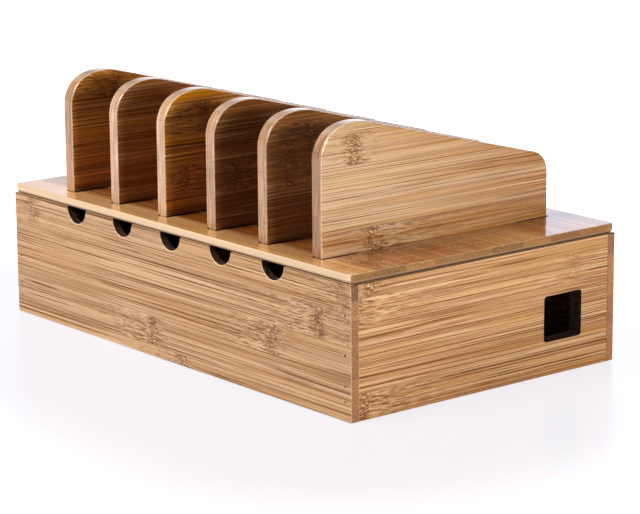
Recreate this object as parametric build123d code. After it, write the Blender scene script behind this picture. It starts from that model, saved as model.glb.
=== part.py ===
from build123d import *
import math
import os

# Charging station organizer: an open bamboo box, a lift-off lid, and six dividers that lift out of the lid.
# All sizes are in millimetres. X runs along the notched front, Y towards the back and Z up.
# The origin is on the resting plane, under the middle of the box.

# Box
box_width = 338.0
box_depth = 206.0
box_height = 79.0
face_board = 5.5            # thickness of the front and back panels
side_board = 10.0           # thickness of the two side panels
bottom_board = 5.0
rabbet_width = 5.0          # step in the side panels that takes the bottom panel
joint_gap = 0.1             # air left in each glued joint that isn't face to face
box_ease = 0.6              # rounding of the outer edges of the four panels

# Cable notches, one under each slot between two dividers
notch_radius = 10.2
notch_depth = 9.6
rim_ease = 0.5

# Cable hole in the right side panel
hole_width = 30.2
hole_height = 27.6
hole_corner = 2.0
hole_rear_margin = 27.5     # from the back of the box to the hole
hole_sill = 20.7            # from the resting plane to the hole

# Lid
lid_thickness = 5.8
lid_margin = 0.3            # the lid stands this far inside the outline of the box
lid_corner = 3.0
lid_under_round = 2.4
lid_top_ease = 0.5

# Dividers
divider_count = 6
divider_side_margin = 45.0      # from each end of the box to the middle of the outermost divider
divider_front_margin = 12.7     # from the front of the box to the dividers
divider_rear_margin = 17.3      # from the dividers to the back of the box
divider_thickness = 8.5
divider_straight = 55.4         # straight part of the front edge, above the lid
front_round = 19.5              # tight first arc of the front top corner
front_round_turn = 72.0         # degrees that this arc turns
crown_round = 40.0              # wider second arc, up to the slope
slope_angle = 14.6              # degrees that the top edge falls towards the back
rear_round = 14.0
divider_ease = 0.8

# Tabs of the dividers and mortises of the lid
tab_length = 26.0
tab_short = 0.8             # the tabs end this far above the underside of the lid
mortise_play_left = 0.2
mortise_play_right = 1.8
mortise_play_end = 0.8
mortise_corner = 2.0
foot_clip = 2.6             # corner cut of the tabs, which clears the round mortise corners
foot_clip_rise = 3.0        # on the left, the cuts at the two ends run out this far above the lid
clip_tip_share = 0.02       # width left at the top of the run-out, as a share of the corner cut

# Battens under the lid
batten_width = 12.0
batten_height = 8.0
batten_play = 0.6

# Brads
brad_head_diameter = 1.3
brad_head_length = 0.7
brad_shank_diameter = 0.9
brad_point_length = 1.5
brad_tip_share = 0.25       # width of the blunt tip, as a share of the shank
brad_sink = 0.4
brad_length = 20.0
short_brad_length = 11.0
brad_clearance = 0.05
corner_brad_height_shares = (0.145, 0.255, 0.48, 0.77)      # of the height of the box
bottom_brad_shares = (-0.36, -0.12, 0.12, 0.36)             # of the depth of the box
batten_brad_shares = (-0.38, 0.0, 0.38)                     # of the length of a batten

overrun = 1.0               # how far cutting tools run past a face

# Places worked out from the sizes above
half_width = box_width / 2
half_depth = box_depth / 2
inner_half_width = half_width - side_board
inner_half_depth = half_depth - face_board
lid_top = box_height + lid_thickness
divider_front = divider_front_margin - half_depth
divider_length = box_depth - divider_front_margin - divider_rear_margin
divider_pitch = (box_width - 2 * divider_side_margin) / (divider_count - 1)
tab_drop = lid_thickness - tab_short
batten_length = 2 * (inner_half_depth - batten_play)
batten_middle = inner_half_width - batten_play - batten_width / 2
divider_places = [(i - (divider_count - 1) / 2) * divider_pitch for i in range(divider_count)]
notch_places = [(a + b) / 2 for a, b in zip(divider_places, divider_places[1:])]


def block(x_low, x_high, y_low, y_high, z_low, z_high):
    """A box between two corners."""
    middle = Pos((x_low + x_high) / 2, (y_low + y_high) / 2, (z_low + z_high) / 2)
    return middle * Box(x_high - x_low, y_high - y_low, z_high - z_low)


# Brads: each place is a plane on the face that the brad is driven into, with Z pointing out of the wood

def brad(place, length):
    """A headed brad with its head sunk below the face."""
    head_middle = -brad_sink - brad_head_length / 2
    shank_radius = brad_shank_diameter / 2
    shank_length = length - brad_head_length - brad_point_length
    shank_top = -brad_sink - brad_head_length
    point_middle = shank_top - shank_length - brad_point_length / 2
    head = Pos(0, 0, head_middle) * Cylinder(brad_head_diameter / 2, brad_head_length)
    shank = Pos(0, 0, shank_top - shank_length / 2) * Cylinder(shank_radius, shank_length)
    point = Pos(0, 0, point_middle) * Cone(shank_radius * brad_tip_share, shank_radius, brad_point_length)
    return place * (head + shank + point)


def brad_hole(place, length):
    """The hole that a brad leaves, open at the face."""
    head_depth = brad_sink + brad_head_length + brad_clearance
    shank_depth = brad_sink + length + brad_clearance
    head_radius = brad_head_diameter / 2 + brad_clearance
    shank_radius = brad_shank_diameter / 2 + brad_clearance
    head = Pos(0, 0, (overrun - head_depth) / 2) * Cylinder(head_radius, overrun + head_depth)
    shank = Pos(0, 0, -shank_depth / 2) * Cylinder(shank_radius, shank_depth)
    return place * (head + shank)


def corner_brad_places(x_sign, y_sign):
    """Brads through a front or back panel into the end of one side panel."""
    x = x_sign * (half_width - side_board / 2)
    outward = (0, y_sign, 0)
    return [Plane(origin=(x, y_sign * half_depth, share * box_height), z_dir=outward)
            for share in corner_brad_height_shares]


def bottom_brad_places(x_sign):
    """Brads from below, through the bottom panel into one side panel."""
    x = x_sign * (inner_half_width + rabbet_width / 2)
    return [Plane(origin=(x, share * box_depth, 0), z_dir=(0, 0, -1)) for share in bottom_brad_shares]


def batten_brad_places(x_sign):
    """Brads from below, through one batten into the lid."""
    x = x_sign * batten_middle
    low = box_height - batten_height
    return [Plane(origin=(x, share * batten_length, low), z_dir=(0, 0, -1)) for share in batten_brad_shares]


# Box

def face_panel(y_sign):
    """Front or back panel, as wide as the box, with its outer edges rounded."""
    y_low, y_high = sorted((y_sign * half_depth, y_sign * inner_half_depth))
    panel = block(-half_width, half_width, y_low, y_high, 0, box_height)
    outer_face = panel.faces().sort_by(Axis.Y)[-1 if y_sign > 0 else 0]
    panel = fillet(outer_face.edges() + panel.edges().filter_by(Axis.Y), box_ease)
    for x_sign in (-1, 1):
        for place in corner_brad_places(x_sign, y_sign):
            panel -= brad_hole(place, brad_length)
    return panel


def notch_cutter(x):
    """Half-round cable notch with an eased rim on the outside of the front panel."""
    middle_height = box_height - notch_depth + notch_radius
    outside = Plane(origin=(x, -half_depth, middle_height), z_dir=(0, -1, 0))
    hole_length = face_board + 2 * overrun
    hole = outside * Pos(0, 0, overrun - hole_length / 2) * Cylinder(notch_radius, hole_length)
    rim = outside * Pos(0, 0, -rim_ease / 2) * Cone(notch_radius, notch_radius + rim_ease, rim_ease)
    return hole + rim


def front_panel():
    panel = face_panel(-1)
    for x in notch_places:
        panel -= notch_cutter(x)
    return panel


def side_panel(x_sign):
    """Side panel between the front and back panels, with the rabbet for the bottom panel."""
    x_low, x_high = sorted((x_sign * half_width, x_sign * inner_half_width))
    panel = block(x_low, x_high, -inner_half_depth, inner_half_depth, 0, box_height)
    outer_face = panel.faces().sort_by(Axis.X)[-1 if x_sign > 0 else 0]
    panel = fillet(outer_face.edges(), box_ease)
    step_low, step_high = sorted((x_sign * (inner_half_width - overrun),
                                  x_sign * (inner_half_width + rabbet_width)))
    long_half = inner_half_depth + overrun
    panel -= block(step_low, step_high, -long_half, long_half, -overrun, bottom_board + joint_gap)
    for y_sign in (-1, 1):
        for place in corner_brad_places(x_sign, y_sign):
            panel -= brad_hole(place, brad_length)
    for place in bottom_brad_places(x_sign):
        panel -= brad_hole(place, brad_length)
    return panel


def right_side_panel():
    """Side panel with the square cable hole near the back."""
    panel = side_panel(1)
    middle = (half_width, half_depth - hole_rear_margin - hole_width / 2, hole_sill + hole_height / 2)
    outside = Plane(origin=middle, x_dir=(0, 1, 0), z_dir=(1, 0, 0))
    outline = outside * RectangleRounded(hole_width, hole_height, hole_corner)
    panel -= extrude(outline, side_board + overrun, dir=(-1, 0, 0))
    on_outside = panel.faces().sort_by(Axis.X)[-1]
    hole_edges = on_outside.inner_wires().sort_by(SortBy.LENGTH)[-1].edges()
    return fillet(hole_edges, rim_ease)


def bottom_panel():
    half_x = inner_half_width + rabbet_width - joint_gap
    half_y = inner_half_depth - joint_gap
    panel = block(-half_x, half_x, -half_y, half_y, 0, bottom_board)
    for x_sign in (-1, 1):
        for place in bottom_brad_places(x_sign):
            panel -= brad_hole(place, brad_length)
    return panel


# Lid

def mortises(x):
    """The two through mortises of one divider."""
    width = divider_thickness + mortise_play_left + mortise_play_right
    length = tab_length + 2 * mortise_play_end
    shift = (mortise_play_right - mortise_play_left) / 2
    tab_middles = (divider_front + tab_length / 2, divider_front + divider_length - tab_length / 2)
    cutters = []
    for y in tab_middles:
        below = Plane(origin=(x + shift, y, box_height - overrun))
        outline = below * RectangleRounded(width, length, mortise_corner)
        cutters.append(extrude(outline, lid_thickness + 2 * overrun, dir=(0, 0, 1)))
    return cutters


def lid_board():
    outline = Pos(0, 0, box_height) * RectangleRounded(box_width - 2 * lid_margin, box_depth - 2 * lid_margin,
                                                       lid_corner)
    board = extrude(outline, lid_thickness, dir=(0, 0, 1))
    under_edges = board.faces().sort_by(Axis.Z)[0].edges()
    board = fillet(under_edges, lid_under_round)
    top_edges = board.faces().sort_by(Axis.Z)[-1].edges()
    board = fillet(top_edges, lid_top_ease)
    for x in divider_places:
        for cutter in mortises(x):
            board -= cutter
    for x_sign in (-1, 1):
        for place in batten_brad_places(x_sign):
            board -= brad_hole(place, short_brad_length)
    return board


def lid_batten(x_sign):
    x = x_sign * batten_middle
    batten = block(x - batten_width / 2, x + batten_width / 2, -batten_length / 2, batten_length / 2,
                   box_height - batten_height, box_height)
    for place in batten_brad_places(x_sign):
        batten -= brad_hole(place, short_brad_length)
    return batten


# Dividers

def divider_outline():
    """Outline in the plane of the divider: first value along Y from its front, second above the lid."""
    slope = math.radians(slope_angle)
    front = Line((0, -tab_drop), (0, divider_straight))
    shoulder = JernArc(front @ 1, front % 1, front_round, -front_round_turn)
    crown = JernArc(shoulder @ 1, shoulder % 1, crown_round, front_round_turn - 90 - slope_angle)
    rear_round_reach = rear_round * (1 - math.sin(slope))
    slope_length = (divider_length - rear_round_reach - (crown @ 1).X) / math.cos(slope)
    top = Line(crown @ 1, (crown @ 1) + (crown % 1) * slope_length)
    rear = JernArc(top @ 1, top % 1, rear_round, slope_angle - 90)
    foot = Polyline(rear @ 1,
                    (divider_length, -tab_drop),
                    (divider_length - tab_length, -tab_drop),
                    (divider_length - tab_length, 0),
                    (tab_length, 0),
                    (tab_length, -tab_drop),
                    (0, -tab_drop))
    return make_face([front, shoulder, crown, top, rear, foot])


def tab_corner_cutter(x_sign, y, inward, runs_out):
    """Corner cut along one upright edge of a tab, which may run out above the lid."""
    x = x_sign * divider_thickness / 2

    def corner(height, size):
        return make_face(Polyline((x, y, height), (x - x_sign * size, y, height), (x, y + inward * size, height),
                                  (x, y, height)))

    cutter = loft([corner(-tab_drop - overrun, foot_clip), corner(0, foot_clip)])
    if runs_out:
        cutter += loft([corner(0, foot_clip), corner(foot_clip_rise, foot_clip * clip_tip_share)])
    return cutter


def divider(x):
    """One divider, standing on the lid with its two tabs in the mortises."""
    board = extrude(Plane.YZ * divider_outline(), divider_thickness / 2, both=True)
    faces = board.faces().sort_by(Axis.X)
    rim = [edge for face in (faces[0], faces[-1]) for edge in face.edges() if edge.center().Z > tab_drop]
    board = fillet(rim, divider_ease)
    tab_corners = ((0, 1), (tab_length, -1), (divider_length - tab_length, 1), (divider_length, -1))
    for x_sign in (-1, 1):
        for y, inward in tab_corners:
            runs_out = x_sign < 0 and y in (0, divider_length)
            board -= tab_corner_cutter(x_sign, y, inward, runs_out)
    return Pos(x, divider_front, lid_top) * board


# All nodes

def build_nodes():
    nodes = {
        "front_panel": front_panel(),
        "back_panel": face_panel(1),
        "left_side_panel": side_panel(-1),
        "right_side_panel": right_side_panel(),
        "bottom_panel": bottom_panel(),
        "lid_board": lid_board(),
        "lid_batten_left": lid_batten(-1),
        "lid_batten_right": lid_batten(1),
    }
    signs = (-1, 1)
    nodes["corner_brads"] = Compound([brad(place, brad_length) for x_sign in signs for y_sign in signs
                                      for place in corner_brad_places(x_sign, y_sign)])
    nodes["bottom_brads"] = Compound([brad(place, brad_length) for x_sign in signs
                                      for place in bottom_brad_places(x_sign)])
    nodes["batten_brads"] = Compound([brad(place, short_brad_length) for x_sign in signs
                                      for place in batten_brad_places(x_sign)])
    for number, x in enumerate(divider_places, start=1):
        nodes[f"divider_{number}"] = divider(x)
    return nodes


os.makedirs("parts", exist_ok=True)
for name, shape in build_nodes().items():
    export_step(shape, f"parts/{name}.step")
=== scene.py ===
import math
import random

import bpy
from mathutils import Matrix, Vector


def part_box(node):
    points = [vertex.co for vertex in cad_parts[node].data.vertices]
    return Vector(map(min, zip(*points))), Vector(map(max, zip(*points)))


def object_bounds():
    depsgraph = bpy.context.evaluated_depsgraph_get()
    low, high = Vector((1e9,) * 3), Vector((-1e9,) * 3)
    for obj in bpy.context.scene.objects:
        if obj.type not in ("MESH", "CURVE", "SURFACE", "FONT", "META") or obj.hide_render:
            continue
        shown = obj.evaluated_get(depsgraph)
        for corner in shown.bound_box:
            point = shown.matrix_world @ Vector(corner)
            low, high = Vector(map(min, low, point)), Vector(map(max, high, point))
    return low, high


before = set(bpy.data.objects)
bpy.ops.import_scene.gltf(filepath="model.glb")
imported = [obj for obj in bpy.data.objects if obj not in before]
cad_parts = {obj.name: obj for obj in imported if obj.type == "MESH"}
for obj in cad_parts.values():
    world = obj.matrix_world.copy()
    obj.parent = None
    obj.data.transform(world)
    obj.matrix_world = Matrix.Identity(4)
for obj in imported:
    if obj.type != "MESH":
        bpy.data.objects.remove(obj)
cad_box = [list(corner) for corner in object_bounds()]

MM = 0.001
scene = bpy.context.scene
scene.view_settings.view_transform = "Standard"
scene.view_settings.gamma = 0.85


# Camera, solved from the edges of the box in the photograph

IMAGE_WIDTH = 640
SENSOR_WIDTH = 36.0
FOCAL_PIXELS = 2618.1
CAMERA_PLACE = Vector((1240.92, -998.57, 420.74)) * MM
CAMERA_YAW = math.radians(50.808)
CAMERA_PITCH = math.radians(13.113)
CAMERA_ROLL = math.radians(-0.403)


def make_camera():
    back = Vector((math.sin(CAMERA_YAW) * math.cos(CAMERA_PITCH),
                   -math.cos(CAMERA_YAW) * math.cos(CAMERA_PITCH),
                   math.sin(CAMERA_PITCH)))
    level_right = (-back).cross(Vector((0, 0, 1))).normalized()
    level_up = back.cross(level_right)
    right = math.cos(CAMERA_ROLL) * level_right + math.sin(CAMERA_ROLL) * level_up
    up = math.cos(CAMERA_ROLL) * level_up - math.sin(CAMERA_ROLL) * level_right
    data = bpy.data.cameras.new("camera")
    data.sensor_fit = "HORIZONTAL"
    data.sensor_width = SENSOR_WIDTH
    data.lens = FOCAL_PIXELS * SENSOR_WIDTH / IMAGE_WIDTH
    data.clip_start = 0.05
    data.clip_end = 50
    camera = bpy.data.objects.new("camera", data)
    turn = Matrix((right, up, back)).transposed().to_4x4()
    camera.matrix_world = Matrix.Translation(CAMERA_PLACE) @ turn
    scene.collection.objects.link(camera)
    scene.camera = camera


make_camera()


# Node helper

class Tree:
    """Adds nodes to a node tree. An input is a number, a tuple or the output of another node."""

    def __init__(self, tree):
        self.tree = tree

    def add(self, kind, inputs=(), output=0, **settings):
        node = self.tree.nodes.new("ShaderNode" + kind)
        for name, value in settings.items():
            setattr(node, name, value)
        for place, value in dict(inputs).items():
            socket = node.inputs[place]
            if isinstance(value, bpy.types.NodeSocket):
                self.tree.links.new(value, socket)
            else:
                socket.default_value = value
        return node.outputs[output] if node.outputs else None

    def math(self, operation, a, b=0.0, c=0.0):
        return self.add("Math", {0: a, 1: b, 2: c}, operation=operation)

    def vector_math(self, operation, a, b=(0, 0, 0)):
        return self.add("VectorMath", {0: a, 1: b}, operation=operation)

    def smooth(self, value, low, high, out_low=0.0, out_high=1.0):
        """Smooth step of value from low to high."""
        return self.add("MapRange", {0: value, 1: low, 2: high, 3: out_low, 4: out_high},
                        interpolation_type="SMOOTHSTEP")

    def noise(self, place, cell, detail=2.0, roughness=0.5, distortion=0.0):
        """Noise from 0 to 1 whose features are as large as cell, given along and across the grain."""
        along, across = cell
        spot = self.vector_math("MULTIPLY", place, (1 / along, 1 / across, 1 / across))
        return self.add("TexNoise", {"Vector": spot, "Scale": 1.0, "Detail": detail, "Roughness": roughness,
                                     "Distortion": distortion})

    def mix(self, share, a, b, blend="MIX"):
        node = self.tree.nodes.new("ShaderNodeMix")
        node.data_type = "RGBA"
        node.blend_type = blend
        for place, value in ((0, share), (6, a), (7, b)):
            if isinstance(value, bpy.types.NodeSocket):
                self.tree.links.new(value, node.inputs[place])
            else:
                node.inputs[place].default_value = value
        return node.outputs[2]

    def split(self, vector):
        node = self.tree.nodes.new("ShaderNodeSeparateXYZ")
        self.tree.links.new(vector, node.inputs[0])
        return list(node.outputs)

    def join(self, x, y, z):
        return self.add("CombineXYZ", {0: x, 1: y, 2: z})


def new_group(name, inputs, outputs):
    """An empty node group with these sockets, and its helper."""
    group = bpy.data.node_groups.new(name, "ShaderNodeTree")
    kinds = {"f": "NodeSocketFloat", "v": "NodeSocketVector", "c": "NodeSocketColor"}
    for socket, kind in inputs:
        group.interface.new_socket(socket, in_out="INPUT", socket_type=kinds[kind])
    for socket, kind in outputs:
        group.interface.new_socket(socket, in_out="OUTPUT", socket_type=kinds[kind])
    inside = group.nodes.new("NodeGroupInput")
    outside = group.nodes.new("NodeGroupOutput")
    return group, Tree(group), inside.outputs, outside.inputs


def colour(red, green, blue):
    """Linear colour from one given as it shows on a screen, 0 to 255."""
    def linear(value):
        share = value / 255
        return share / 12.92 if share <= 0.04045 else ((share + 0.055) / 1.055) ** 2.4
    return (linear(red), linear(green), linear(blue), 1.0)


# Bamboo: u runs along the grain, v across the strips of the board and w through its thickness.
# A cell is the size of a noise feature along and across the grain, in metres.

WANDER_CELL = (1.0, 0.008)
SLOW_CELL = (0.12, 0.04)
NEAR_CELL = (0.016, 0.007)
BAND_CELL = (0.30, 0.0042)
BLUSH_CELL = (0.11, 0.0065)
LINE_CELL = (0.30, 0.0006)
STREAK_CELL = (0.09, 0.00048)
HAIR_CELL = (0.12, 0.001)
DASH_CELL = (0.0075, 0.00075)
PATCH_CELL = (0.07, 0.011)
CROOK_CELL = (0.003, 0.0025)
DOT_CELL = (0.02, 0.0003)
SOOT_CELL = (0.006, 0.003)
CURL_SIZE = (3.4 * MM, 1.9 * MM, 6.0 * MM)
END_LAYER_SIZE = (40 * MM, 18 * MM, 1.0 * MM)

KNUCKLE_WANDER = 10 * MM
KNUCKLE_HALF_WIDTH = 5.6 * MM
FIELD_REACH = 8 * MM
FIELD_LEAN = 20 * MM        # how much farther the field reaches on the side that it leans to
STRIP_SOFT_OUTSIDE = 0.5 * MM
STRIP_SOFT_INSIDE = 0.7 * MM
SLOW_SWAY = 0.9 * MM
NEAR_SWAY = 3.0 * MM
CROOK_ALONG = 5 * MM
CROOK_ACROSS = -4 * MM
PIECE_SHIFT = (3.0, 0.7, 0.9)       # how far apart in the noise two strips can lie

FACING_SIDE = (0.55, 0.85)          # where a face counts as end grain or as a rim
PALE_SHEEN = (1, 0.88, 0.72, 1)
CURL_DARK = (0.13, 0.03, 0.0, 1)
JOINT_SOFT = (0.32, 0.1)            # millimetres from the joint of two strips
JOINT_SHARE = 0.3
GLUE_SOFT = (0.5 * MM, 0.2 * MM)
GLUE_SHARE = 0.35
SEAM_SOFT = 0.1 * MM
SEAM_SHARE = 0.9
BUMP_DEPTH = 0.25 * MM
WOOD_IOR = 1.52


def knuckle_group():
    """Where one knuckle of one strip lies: its core, and the field of short fibres on one side of it."""
    group, t, given, out = new_group(
        "bamboo_knuckle",
        [("Place", "v"), ("U", "f"), ("Low", "f"), ("High", "f"), ("Strength", "f"), ("Lean", "f")],
        [("Core", "f"), ("Field", "f")])
    u, v, _ = t.split(given["Place"])
    wander = t.noise(given["Place"], WANDER_CELL, detail=1)
    offset = t.math("SUBTRACT", u, given["U"])
    from_middle = t.math("MULTIPLY_ADD", t.math("SUBTRACT", wander, 0.5), KNUCKLE_WANDER, offset)
    squared = t.math("MULTIPLY", from_middle, from_middle)
    core = t.math("EXPONENT", t.math("MULTIPLY", squared, -1 / KNUCKLE_HALF_WIDTH ** 2))
    leaning = t.math("GREATER_THAN", t.math("MULTIPLY", from_middle, given["Lean"]), 0.0)
    reach = t.math("MULTIPLY_ADD", leaning, FIELD_LEAN, FIELD_REACH)
    away = t.math("DIVIDE", t.math("ABSOLUTE", from_middle), reach)
    field = t.math("EXPONENT", t.math("MULTIPLY", away, -1.0))
    above = t.smooth(v, t.math("SUBTRACT", given["Low"], STRIP_SOFT_OUTSIDE),
                     t.math("ADD", given["Low"], STRIP_SOFT_INSIDE))
    below = t.smooth(v, t.math("ADD", given["High"], STRIP_SOFT_OUTSIDE),
                     t.math("SUBTRACT", given["High"], STRIP_SOFT_INSIDE))
    inside = t.math("MULTIPLY", t.math("MULTIPLY", above, below), given["Strength"])
    t.tree.links.new(t.math("MULTIPLY", core, inside), out["Core"])
    t.tree.links.new(t.math("MULTIPLY", field, inside), out["Field"])
    return group


def grain_group():
    """Colour, height and gloss of bamboo at a place in a board."""
    group, t, given, out = new_group(
        "bamboo_grain",
        [("Place", "v"), ("Facing", "v"), ("Strip", "f"), ("Ply", "f"), ("Core", "f"), ("Field", "f"),
         ("Tone", "f"), ("End Tone", "f"), ("Pale", "c"), ("Deep", "c"), ("Line", "c"), ("End", "c"),
         ("Rim", "c"), ("Contrast", "f"), ("Speckle", "f"), ("Layers", "f")],
        [("Color", "c"), ("Height", "f"), ("Gloss", "f")])
    core, field, contrast = given["Core"], given["Field"], given["Contrast"]

    # Each strip of each ply is its own piece of bamboo
    key = t.join(given["Strip"], given["Ply"], 0.5)
    chance = t.split(t.add("TexWhiteNoise", {"Vector": key}, output=1, noise_dimensions="3D"))
    shift = t.join(*(t.math("MULTIPLY", draw, most) for draw, most in zip(chance, PIECE_SHIFT)))
    still = t.vector_math("ADD", given["Place"], shift)

    # Fibres wander slowly along the board and more near a knuckle
    slow = t.math("MULTIPLY", t.math("SUBTRACT", t.noise(still, SLOW_CELL, detail=1), 0.5), SLOW_SWAY)
    near = t.math("MULTIPLY", t.math("SUBTRACT", t.noise(still, NEAR_CELL, detail=1), 0.5),
                  t.math("MULTIPLY", field, NEAR_SWAY))
    aside = t.math("ADD", slow, near)
    place = t.vector_math("ADD", still, t.join(0.0, aside, aside))

    bands = t.noise(place, BAND_CELL, detail=1.5)
    blush = t.noise(place, BLUSH_CELL, detail=1.5)
    lines = t.noise(place, LINE_CELL, detail=1.0)
    streaks = t.noise(place, STREAK_CELL, detail=1.0)
    hairs = t.noise(place, HAIR_CELL, detail=1.0)
    dashes = t.noise(place, DASH_CELL, detail=1.5, roughness=0.6)
    patches = t.noise(place, PATCH_CELL, detail=1.0)

    facing = t.split(t.vector_math("ABSOLUTE", given["Facing"]))
    end = t.smooth(facing[0], *FACING_SIDE)
    rim = t.smooth(facing[1], *FACING_SIDE)
    # Mask of rounded edges, for their sanded wear and a painted highlight.
    eased_wear_and_highlight = t.math("MULTIPLY", t.smooth(facing[2], 0.12, 0.3), t.smooth(facing[2], 0.97, 0.85))

    # Soft bands of pale and deep wood
    depth = t.math("MULTIPLY_ADD", given["Tone"], 0.55, t.smooth(bands, 0.30, 0.70, 0.15, 0.80))
    depth = t.math("MULTIPLY_ADD", field, -0.3, depth)
    depth = t.math("MULTIPLY_ADD", t.math("SUBTRACT", chance[2], 0.5), 0.22, depth)
    wood = t.mix(t.add("Clamp", {0: depth}), given["Pale"], given["Deep"])
    warm = t.math("SUBTRACT", blush, 0.5)
    wood = t.add("HueSaturation", {"Hue": t.math("MULTIPLY_ADD", warm, -0.016, 0.5),
                                   "Saturation": t.math("MULTIPLY_ADD", warm, -0.25, 1.0), "Color": wood})

    # Dark and pale fibres: long ones everywhere, shorter ones in patches and short dashes round a knuckle
    highlight = t.mix(0.35, given["Pale"], PALE_SHEEN)
    quiet = t.math("MULTIPLY_ADD", field, -0.5, 1.0)
    long_share = t.math("MULTIPLY", contrast, quiet)
    patch = t.smooth(patches, 0.46, 0.62)
    patch_share = t.math("MULTIPLY", t.math("MULTIPLY_ADD", patch, 0.7, 0.2), long_share)
    dash_share = t.math("MINIMUM", t.math("MULTIPLY", field, 1.5), 1.0)
    layers = ((t.smooth(lines, 0.43, 0.36), long_share, 0.50, highlight),
              (t.smooth(streaks, 0.42, 0.35), patch_share, 0.50, highlight),
              (t.smooth(lines, 0.57, 0.625), long_share, 0.85, given["Line"]),
              (t.smooth(streaks, 0.585, 0.64), patch_share, 0.95, given["Line"]),
              (t.smooth(dashes, 0.46, 0.38), dash_share, 0.45, highlight),
              (t.smooth(dashes, 0.535, 0.60), dash_share, 0.85, given["Line"]))
    for mask, share, most, tint in layers:
        wood = t.mix(t.math("MULTIPLY", t.math("MULTIPLY", mask, share), most), wood, tint)

    # A knuckle is a column of small curls: dark outlines round pale spots
    crook = t.noise(still, CROOK_CELL, detail=1.0)
    crooked = t.vector_math("ADD", still, t.join(t.math("MULTIPLY", crook, CROOK_ALONG),
                                                 t.math("MULTIPLY", crook, CROOK_ACROSS), 0.0))
    cell = t.vector_math("MULTIPLY", crooked, tuple(1 / size for size in CURL_SIZE))
    outline = t.add("TexVoronoi", {"Vector": cell, "Scale": 1.0}, output="Distance",
                    feature="DISTANCE_TO_EDGE")
    curl = t.math("MULTIPLY", t.smooth(outline, 0.16, 0.03), core)
    spot = t.math("MULTIPLY", t.smooth(outline, 0.18, 0.40), core)
    wood = t.mix(t.math("MULTIPLY", core, 0.4), wood, given["Deep"])
    wood = t.mix(t.math("MULTIPLY", spot, 0.6), wood, highlight)
    wood = t.mix(t.math("MULTIPLY", curl, 0.75), wood, t.mix(0.3, given["Line"], CURL_DARK))

    fine = t.math("MULTIPLY_ADD", t.math("SUBTRACT", hairs, 0.5), t.math("MULTIPLY", contrast, -0.5), 1.0)
    strip_shade = t.math("MULTIPLY_ADD", t.math("MAXIMUM", given["Tone"], 0.0), -0.1, 1.0)
    fine = t.math("MULTIPLY", fine, strip_shade)
    wood = t.mix(1.0, wood, t.join(fine, fine, fine), blend="MULTIPLY")

    # End grain shows the fibres cut across, as fine dots
    dots = t.noise(given["Place"], DOT_CELL, detail=0.0)
    thin = t.vector_math("MULTIPLY", given["Place"], tuple(1 / size for size in END_LAYER_SIZE))
    layers_cut = t.add("TexNoise", {"Vector": thin, "Scale": 1.0, "Detail": 2.0, "Roughness": 0.6})
    dot_tone = t.math("ADD", t.math("MULTIPLY", t.math("SUBTRACT", dots, 0.5), given["Speckle"]),
                      t.math("MULTIPLY", t.math("SUBTRACT", layers_cut, 0.5), given["Layers"]))
    piece_tone = t.math("MULTIPLY", t.math("SUBTRACT", chance[0], 0.5), 0.2)
    plain_tone = t.math("ADD", t.math("ADD", given["End Tone"], piece_tone), 1.0)
    end_tone = t.math("MULTIPLY_ADD", dot_tone, 2.2, plain_tone)
    end_wood = t.mix(1.0, given["End"], t.join(end_tone, end_tone, end_tone), blend="MULTIPLY")
    rim_tone = t.math("MULTIPLY_ADD", t.math("SUBTRACT", lines, 0.5), -0.5, 1.0)
    rim_wood = t.mix(1.0, given["Rim"], t.join(rim_tone, rim_tone, rim_tone), blend="MULTIPLY")
    wood = t.mix(rim, wood, rim_wood)
    wood = t.mix(end, wood, end_wood)
    # Rounded edges are paler: partly sanded wear, partly a painted highlight.
    wood = t.mix(t.math("MULTIPLY", eased_wear_and_highlight, 0.22), wood, PALE_SHEEN)

    height = t.math("MULTIPLY_ADD", lines, -0.35,
                    t.math("MULTIPLY", dashes, t.math("MULTIPLY_ADD", field, -0.5, -0.2)))
    height = t.math("SUBTRACT", height, t.math("MULTIPLY", curl, 0.6))
    gloss = t.math("MULTIPLY_ADD", t.math("SUBTRACT", lines, 0.5), 0.12, 0.28)
    gloss = t.math("MULTIPLY_ADD", end, 0.14, gloss)
    t.tree.links.new(wood, out["Color"])
    t.tree.links.new(height, out["Height"])
    t.tree.links.new(gloss, out["Gloss"])
    return group


KNUCKLE = knuckle_group()
GRAIN = grain_group()


def steps(t, value, stops):
    """A value from -1 to 1 that changes in steps. stops maps the place in millimetres where a step starts to
    its value."""
    if not stops:
        return 0.0
    places = sorted(stops)
    low = places[0] - 1
    reach = places[-1] + 1 - low
    ramp = t.tree.nodes.new("ShaderNodeValToRGB")
    ramp.color_ramp.interpolation = "CONSTANT"
    t.tree.links.new(t.math("DIVIDE", t.math("SUBTRACT", value, low * MM), reach * MM), ramp.inputs[0])
    elements = ramp.color_ramp.elements
    elements.remove(elements[-1])
    elements[0].position = 0
    elements[0].color = (0.5, 0.5, 0.5, 1)
    for place in places:
        level = 0.5 + stops[place] / 2
        elements.new((place - low) / reach).color = (level, level, level, 1)
    return t.math("MULTIPLY_ADD", ramp.outputs[0], 2.0, -1.0)


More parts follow.
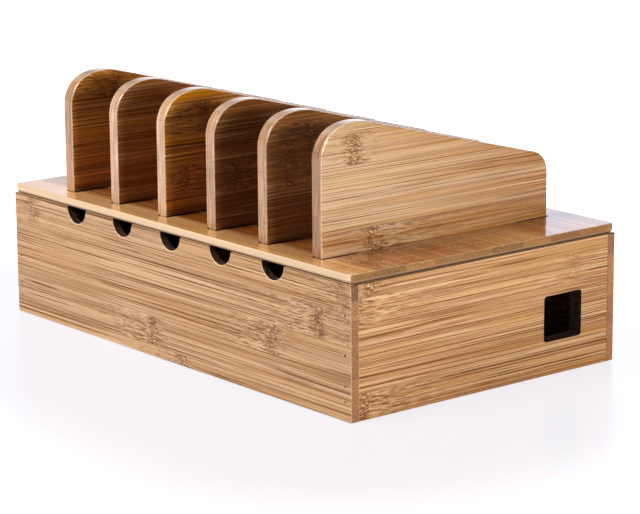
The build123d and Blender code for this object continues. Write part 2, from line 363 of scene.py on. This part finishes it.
def scorch_and_paint_shade(t, wood, gloss, place, facing, region, reach):
    """Darkens and dulls the cut faces of an opening in this region of u and v: partly char that a laser
    leaves, partly painted shade inside the opening.
    """
    u, v, _ = t.split(place)
    _, _, fw = t.split(t.vector_math("ABSOLUTE", facing))
    least, most = reach
    near = 1.0
    for value, (low, high) in zip((u, v), region):
        near = t.math("MULTIPLY", near, t.math("GREATER_THAN", value, low * MM))
        near = t.math("MULTIPLY", near, t.math("LESS_THAN", value, high * MM))
    cut = t.math("MULTIPLY", t.smooth(fw, most, most - 0.2), t.smooth(fw, least - 0.1, least))
    cut = t.math("MULTIPLY", cut, near)
    dull = t.math("MULTIPLY", near, t.smooth(fw, 0.995, 0.97))
    soot = t.noise(place, SOOT_CELL, detail=2.0)
    burnt_and_shaded = t.mix(t.smooth(soot, 0.35, 0.65), colour(48, 30, 18), colour(88, 58, 36))
    return t.mix(cut, wood, burnt_and_shaded), t.math("MULTIPLY_ADD", dull, 0.6, gloss)


def darken(t, wood, gloss, level, low, high):
    """Darkens and dulls the wood between two heights: painted shade along the seam under the lid and on the
    divider tabs down in the lid's mortises.
    """
    above = t.smooth(level, low * MM - SEAM_SOFT, low * MM + SEAM_SOFT)
    below = t.smooth(level, high * MM + SEAM_SOFT, high * MM - SEAM_SOFT)
    share = t.math("MULTIPLY", above, below)
    dark_wood = t.mix(t.math("MULTIPLY", share, SEAM_SHARE), wood, colour(44, 22, 18))
    return dark_wood, t.math("MULTIPLY_ADD", share, 0.6, gloss)


def bamboo(name, axes, pitch, first, knuckles, tones=None, end_steps=None,
           pale=(214, 172, 124), deep=(188, 142, 92), line=(126, 74, 26), end=(190, 140, 98),
           rim=(214, 172, 124), contrast=1.0, speckle=1.0, layers=0.0, drift=0.0,
           ply_split=None, ply_shift=0.0, scorched_and_shaded=None, scorch_and_shade_reach=(-1.0, 0.55), dark_heights=None,
           relief=0.5, coat=0.35, coat_above=None, coat_roughness=0.12):
    """Bamboo board material. axes names the object axes of u, v and w. Strips are pitch wide in millimetres,
    with a joint at first. A knuckle is (u, number of its strip, strength, lean), strip 0 being the one above
    first. drift darkens the board along the grain, by so much in 100 mm. dark_heights is a range of heights
    to darken with painted shade. With coat_above, only faces that point up by at least that much have a
    coat, and those that point down are darker, a painted shade."""
    material = bpy.data.materials.new(name)
    material.use_nodes = True
    t = Tree(material.node_tree)
    t.tree.nodes.clear()
    coordinates = t.tree.nodes.new("ShaderNodeTexCoord")
    order = ["xyz".index(axis) for axis in axes]
    spot = t.split(coordinates.outputs["Object"])
    normal = t.split(coordinates.outputs["Normal"])
    u, v, w = (spot[i] for i in order)
    place = t.join(u, v, w)
    facing = t.join(*(normal[i] for i in order))

    seed = random.Random(name).uniform(0, 90)
    if ply_split is None:
        ply = 0.0
        shifted = v
    else:
        ply = t.math("LESS_THAN", w, ply_split * MM)
        shifted = t.math("MULTIPLY_ADD", ply, ply_shift * MM, v)
    past_first = t.math("SUBTRACT", shifted, first * MM)
    number = t.math("FLOOR", t.math("DIVIDE", past_first, pitch * MM))
    from_first = t.math("SUBTRACT", shifted, (first - 40 * pitch) * MM)
    within = t.math("FRACT", t.math("DIVIDE", from_first, pitch * MM))
    joint_distance = t.math("MULTIPLY", t.math("MINIMUM", within, t.math("SUBTRACT", 1.0, within)), pitch)
    joint = t.smooth(joint_distance, *JOINT_SOFT)

    def strip_starts(values):
        return {first + strip * pitch: value for strip, value in (values or {}).items()}

    core = field = 0.0
    for along, strip, strength, lean in knuckles:
        low = first + strip * pitch
        node = t.tree.nodes.new("ShaderNodeGroup")
        node.node_tree = KNUCKLE
        t.tree.links.new(place, node.inputs["Place"])
        for socket, value in (("U", along * MM), ("Low", low * MM), ("High", (low + pitch) * MM),
                              ("Strength", strength), ("Lean", lean)):
            node.inputs[socket].default_value = value
        core = t.math("MAXIMUM", core, node.outputs["Core"])
        field = t.math("MAXIMUM", field, node.outputs["Field"])

    grain = t.tree.nodes.new("ShaderNodeGroup")
    grain.node_tree = GRAIN
    sockets = {"Place": place, "Facing": facing, "Strip": t.math("ADD", number, seed), "Ply": ply,
               "Core": core, "Field": field,
               "Tone": t.math("MULTIPLY_ADD", u, drift / (100 * MM), steps(t, shifted, strip_starts(tones))),
               "End Tone": steps(t, v, end_steps), "Pale": colour(*pale), "Deep": colour(*deep),
               "Line": colour(*line), "End": colour(*end), "Rim": colour(*rim), "Contrast": contrast,
               "Speckle": speckle, "Layers": layers}
    for socket, value in sockets.items():
        if isinstance(value, bpy.types.NodeSocket):
            t.tree.links.new(value, grain.inputs[socket])
        else:
            grain.inputs[socket].default_value = value
    wood = t.mix(t.math("MULTIPLY", joint, JOINT_SHARE), grain.outputs["Color"], colour(*line))
    if ply_split is not None:
        from_split = t.math("ABSOLUTE", t.math("SUBTRACT", w, ply_split * MM))
        glue = t.math("MULTIPLY", t.smooth(from_split, *GLUE_SOFT),
                      t.smooth(t.math("ABSOLUTE", t.split(facing)[2]), 0.6, 0.3))
        wood = t.mix(t.math("MULTIPLY", glue, GLUE_SHARE), wood, colour(*line))
    gloss = grain.outputs["Gloss"]
    # Cut faces of openings: part laser char, part painted shade.
    if scorched_and_shaded:
        wood, gloss = scorch_and_paint_shade(t, wood, gloss, place, facing, scorched_and_shaded, scorch_and_shade_reach)
    if coat_above is not None:
        coat = t.smooth(normal[2], coat_above - 0.15, coat_above, 0.0, coat)
        # Faces that point down are darker: painted shade under the lid.
        wood = t.mix(t.smooth(normal[2], -0.05, -0.5, 0.0, 0.45), wood, colour(*line))
        gloss = t.math("ADD", gloss, t.smooth(normal[2], 0.0, -0.3, 0.0, 0.4))
    # Painted shade between two heights.
    if dark_heights:
        wood, gloss = darken(t, wood, gloss, spot[2], *dark_heights)
    bump = t.add("Bump", {"Strength": relief, "Distance": BUMP_DEPTH, "Height": grain.outputs["Height"]})
    shader = t.add("BsdfPrincipled", {"Base Color": wood, "Roughness": gloss, "IOR": WOOD_IOR,
                                      "Normal": bump, "Coat Weight": coat, "Coat Roughness": coat_roughness})
    t.add("OutputMaterial", {"Surface": shader})
    return material


def brad_metal():
    material = bpy.data.materials.new("brad_metal")
    material.use_nodes = True
    t = Tree(material.node_tree)
    t.tree.nodes.clear()
    coordinates = t.tree.nodes.new("ShaderNodeTexCoord")
    rust = t.add("TexNoise", {"Vector": coordinates.outputs["Object"], "Scale": 900.0, "Detail": 3.0})
    tint = t.mix(t.smooth(rust, 0.45, 0.65), (0.44, 0.29, 0.18, 1), (0.24, 0.15, 0.09, 1))
    bump = t.add("Bump", {"Strength": 0.3, "Distance": 0.05 * MM, "Height": rust})
    roughness = t.smooth(rust, 0.3, 0.7, 0.35, 0.6)
    shader = t.add("BsdfPrincipled", {"Base Color": tint, "Metallic": 0.8, "Roughness": roughness,
                                      "Normal": bump})
    t.add("OutputMaterial", {"Surface": shader})
    return material


def dress(node, material):
    """Gives a CAD node this one material."""
    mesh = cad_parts[node].data
    mesh.materials.clear()
    mesh.materials.append(material)


FACE = dict(axes="xzy", pitch=18.3)
SIDE = dict(axes="yzx")
# Painted shade: a thin dark line on each side of the seam under the lid.
SEAM_BELOW = (78.48, 78.9)
SEAM_ABOVE = (79.08, 79.42)
# Painted shade on the divider tabs, down in the gaps of the lid's mortises.
TAB = (0, 84.8)
RIGHT_PLY = 2.4             # thickness of the right ply of a divider, in millimetres
NOTCHES = ((-112, 112), (68, 78.9))
CABLE_HOLE = ((43, 78), (18, 51))

dress("front_panel", bamboo(
    "front_bamboo", **FACE, first=7.0,
    knuckles=[(-148.5, 3, 0.75, 0), (-17.8, 0, 1, -1), (99, 1, 1, -1), (141, 2, 1, -1), (12.5, -1, 0.8, -1),
              (163, 3, 0.5, -1), (166, 2, 0.4, -1)],
    pale=(217, 178, 138), deep=(190, 144, 100), line=(122, 68, 18), end=(160, 116, 78),
    end_steps={-1: -0.04, 27.7: 0.06, 45: -0.12, 59: 0.18, 70: -0.26}, speckle=1.0, scorched_and_shaded=NOTCHES,
    dark_heights=SEAM_BELOW, coat=0.0))
dress("back_panel", bamboo(
    "back_bamboo", **FACE, first=10.0,
    knuckles=[(-96, 2, 1, 1), (-31, -1, 0.8, 1), (22, 1, 1, 1), (88, 3, 1, 1), (120, 0, 1, 1)],
    pale=(217, 178, 138), deep=(190, 144, 100), line=(122, 68, 18), end=(168, 120, 82), speckle=1.0,
    end_steps={-1: 0.05, 22: -0.12, 41: 0.1, 66: -0.08}, dark_heights=SEAM_BELOW))
dress("right_side_panel", bamboo(
    "right_side_bamboo", **SIDE, pitch=18.6, first=15.8,
    knuckles=[(-88, 3, 1, 0), (-93.5, -1, 1, 1), (-99, 2, 0.8, 1), (69, 2, 0.3, -1)],
    tones={-1: 0.6, 0: 0.4, 1: 0.25, 2: 0.1, 3: -0.1},
    pale=(220, 178, 128), deep=(180, 126, 70), line=(124, 70, 18), contrast=1.1, scorched_and_shaded=CABLE_HOLE,
    scorch_and_shade_reach=(-1.0, 0.9), dark_heights=SEAM_BELOW))
dress("left_side_panel", bamboo(
    "left_side_bamboo", **SIDE, pitch=18.6, first=12.2,
    knuckles=[(-52, 1, 1, 1), (38, 3, 1, 1), (71, 0, 1, 1)],
    pale=(220, 178, 128), deep=(180, 126, 70), line=(124, 70, 18), contrast=1.1, dark_heights=SEAM_BELOW))
dress("bottom_panel", bamboo(
    "bottom_bamboo", axes="xyz", pitch=20.0, first=0.0,
    knuckles=[(-120, -3, 1, 1), (64, -1, 1, 1), (-22, 2, 1, 1), (131, 3, 1, 1)]))
dress("lid_board", bamboo(
    "lid_bamboo", axes="xyz", pitch=22.6, first=4.8,
    knuckles=[(156, -1, 0.7, -1), (149, -4, 1, -1), (156, -4, 0.8, 1), (-66, 3, 0.8, 1), (-140, 1, 0.8, 1),
              (70, 2, 0.8, 1)],
    pale=(244, 194, 132), deep=(166, 93, 22), line=(92, 46, 10), end=(158, 115, 68), rim=(232, 203, 170),
    tones={-5: -1, -4: 0.6, -3: 0.7, -2: 0.45, -1: 0.2, 0: 0.15, 1: 0.2, 2: 0.3, 3: 0.4},
    end_steps={-110: 0.0, -85.6: -0.26, -63: 0.14, -40.4: -0.08, -17.8: -0.12, 4.8: -0.16, 27.4: 0.15,
               50: -0.05, 72.6: 0.08},
    contrast=0.4, speckle=1.1, drift=0.2, dark_heights=SEAM_ABOVE, relief=0.06, coat=1.0, coat_above=0.3,
    coat_roughness=0.05))
for number, batten in enumerate(("lid_batten_left", "lid_batten_right")):
    dress(batten, bamboo(f"batten_bamboo_{number + 1}", axes="yxz", pitch=40.0, first=-160.0 + 7 * number,
                         knuckles=[(-40 + 90 * number, 0, 0.8, 1)]))

# The tones of the dividers hold some of the shade that the slots have in the photograph
DIVIDERS = [
    dict(first=105.4, pitch=19.2, end=(192, 151, 121), knuckles=[(-55.5, 2, 1, -1), (48, 0, 1, 1)],
         pale=(236, 164, 58), deep=(184, 104, 22),
         tones={1: -0.2, 2: -0.2, 0: 0.2, -1: 0.3}),
    dict(first=107.0, pitch=19.0, end=(216, 180, 150), knuckles=[(31, -1, 1, 1), (52, 1, 1, 1)],
         tones={-1: 1, 0: 0.8, 1: 0.3, 2: 0.2}, deep=(142, 82, 26)),
    dict(first=97.0, pitch=18.6, end=(212, 176, 144),
         knuckles=[(-59, 2, 1, -1), (-76, 0, 1, 1), (20, 1, 1, 1)],
         pale=(240, 168, 62), deep=(188, 110, 24),
         tones={1: -0.2, 2: -0.2, 0: 0.1}),
    dict(first=107.1, pitch=18.9, end=(200, 161, 130),
         knuckles=[(-73.5, 0, 1, 1), (-5, 2, 0.5, 1), (44, 0, 1, 1)],
         tones={-1: 1, 0: 1, 1: 0.3, 2: 0.2}, pale=(190, 130, 62), deep=(122, 68, 22)),
    dict(first=97.2, pitch=19.2, end=(190, 152, 119),
         knuckles=[(-58.5, 2, 1, -1), (-71.8, 1, 1, 1), (35, 0, 1, 1)],
         tones={-1: 1, 0: 0.7, 1: 0.5}, pale=(190, 128, 54), deep=(132, 74, 20)),
    # Divider 6's drift darkens its face towards the back: painted shade where the light falls off.
    dict(first=98.8, pitch=18.5, end=(173, 133, 101), knuckles=[(-65.7, 2, 1, 0), (-52, -1, 1, 1)],
         tones={-2: 0.7, -1: 0.7, 0: -0.5, 1: -0.2, 2: -0.1, 3: 0.1}, contrast=0.8, drift=0.65,
         pale=(217, 182, 142), deep=(188, 131, 62), line=(124, 66, 6)),
]
for number, facts in enumerate(DIVIDERS, start=1):
    low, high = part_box(f"divider_{number}")
    split = high.x / MM - RIGHT_PLY
    # The default divider colours are darker and deeper: partly painted shade of the slots.
    facts = {"pale": (208, 148, 70), "deep": (158, 94, 30), "contrast": 1.3, **facts}
    dress(f"divider_{number}", bamboo(
        f"divider_bamboo_{number}", **SIDE, **facts, rim=(211, 181, 156), speckle=0.3, layers=0.7,
        ply_split=split, ply_shift=9.0, dark_heights=TAB, coat=1.0, coat_roughness=0.1))

steel = brad_metal()
for node in ("corner_brads", "bottom_brads", "batten_brads"):
    dress(node, steel)


# Floor and light

# The floor's emission near the box is lower than far from it: painted shade round the box's foot.
FLOOR_GLOW = (0.86, 1.1)
FLOOR_SHADE_FADE = (90 * MM, 230 * MM)
# Far behind the box the floor emits for glossy rays only: a painted reflection.
BEHIND_GLOW = 1.1
BEHIND_FADE = (250 * MM, 500 * MM)
WORLD_DIM = 0.02
WORLD_BRIGHT = 1.5
WORLD_COLOUR = (0.87, 0.89, 1, 1)
FLOOR_COLOUR = (0.70, 0.70, 0.71, 1)
FLOOR_SEEN_COLOUR = (0.05, 0.05, 0.05, 1)
FLOOR_DROP = 0.3 * MM       # the floor lies this far under the part
BRIGHT_YAW = math.radians(34)
BEHIND_YAW = math.radians(50)
LEFT_POWER = 35.6
RIGHT_POWER = 7.8


def make_floor():
    """Pale table top that the camera sees as nearly white, with painted shade round the box's foot, and
    whose far part is bright in reflections, a painted reflection.
    """
    half = 4.0
    mesh = bpy.data.meshes.new("floor")
    corners = [(-half, -half, 0), (half, -half, 0), (half, half, 0), (-half, half, 0)]
    mesh.from_pydata(corners, [], [(0, 1, 2, 3)])
    floor = bpy.data.objects.new("floor", mesh)
    floor.location.z = -FLOOR_DROP
    scene.collection.objects.link(floor)
    material = bpy.data.materials.new("floor_white")
    material.use_nodes = True
    t = Tree(material.node_tree)
    shader = material.node_tree.nodes["Principled BSDF"]
    shader.inputs["Roughness"].default_value = 0.3
    shader.inputs["Specular IOR Level"].default_value = 0.1
    shader.inputs["Emission Color"].default_value = (0.965, 0.955, 1, 1)
    x, y, _ = t.split(t.tree.nodes.new("ShaderNodeTexCoord").outputs["Object"])
    half_width, half_depth, _ = cad_box[1]
    beside = t.math("MAXIMUM", t.math("SUBTRACT", t.math("ABSOLUTE", x), half_width), 0.0)
    before = t.math("MAXIMUM", t.math("SUBTRACT", t.math("ABSOLUTE", y), half_depth), 0.0)
    away = t.add("VectorMath", {0: t.join(beside, before, 0.0)}, output=1, operation="LENGTH")
    # Dimmer near the box: painted shade round its foot.
    glow_and_painted_shade = t.smooth(away, *FLOOR_SHADE_FADE, *FLOOR_GLOW)
    seen = t.add("LightPath", output="Is Camera Ray")
    mirrored = t.add("LightPath", output="Is Glossy Ray")
    # Painted reflection: the far floor emits for glossy rays only.
    behind = t.math("SUBTRACT", t.math("MULTIPLY", y, math.cos(BEHIND_YAW)),
                    t.math("MULTIPLY", x, math.sin(BEHIND_YAW)))
    painted_reflection_glow = t.math("MULTIPLY", mirrored, t.smooth(behind, *BEHIND_FADE, 0.0, BEHIND_GLOW))
    shown = t.math("MULTIPLY_ADD", seen, glow_and_painted_shade, painted_reflection_glow)
    t.tree.links.new(shown, shader.inputs["Emission Strength"])
    t.tree.links.new(t.mix(seen, FLOOR_COLOUR, FLOOR_SEEN_COLOUR), shader.inputs["Base Color"])
    mesh.materials.append(material)


def make_world():
    """White surroundings: bright behind the object as the photograph sees it, dim elsewhere."""
    world = bpy.data.worlds.new("studio")
    world.use_nodes = True
    scene.world = world
    t = Tree(world.node_tree)
    t.tree.nodes.clear()
    coordinates = t.tree.nodes.new("ShaderNodeTexCoord")
    direction = coordinates.outputs["Generated"]
    behind = (-math.sin(BRIGHT_YAW), math.cos(BRIGHT_YAW), 0.1)
    towards = t.add("VectorMath", {0: direction, 1: behind}, output=1, operation="DOT_PRODUCT")
    level = t.smooth(towards, 0.82, 0.98, WORLD_DIM, WORLD_BRIGHT)
    seen = t.add("LightPath", output="Is Camera Ray")
    strength = t.math("MAXIMUM", level, seen)
    background = t.add("Background", {"Color": WORLD_COLOUR, "Strength": strength})
    t.tree.links.new(background, t.tree.nodes.new("ShaderNodeOutputWorld").inputs["Surface"])


def softbox(name, azimuth, elevation, distance, size, power):
    """Area light aimed at the object. Azimuth 0 is in front of the box and 90 on its right."""
    a, e = math.radians(azimuth), math.radians(elevation)
    away = Vector((math.sin(a) * math.cos(e), -math.cos(a) * math.cos(e), math.sin(e)))
    data = bpy.data.lights.new(name, "AREA")
    data.shape = "RECTANGLE"
    data.size, data.size_y = size
    data.energy = power
    lamp = bpy.data.objects.new(name, data)
    lamp.location = away * distance
    lamp.rotation_euler = away.to_track_quat("Z", "Y").to_euler()
    scene.collection.objects.link(lamp)


make_floor()
make_world()
softbox("softbox_left", -15, 48, 1.8, (0.6, 0.8), LEFT_POWER)
softbox("softbox_right", 88, 14, 1.1, (0.4, 0.28), RIGHT_POWER)
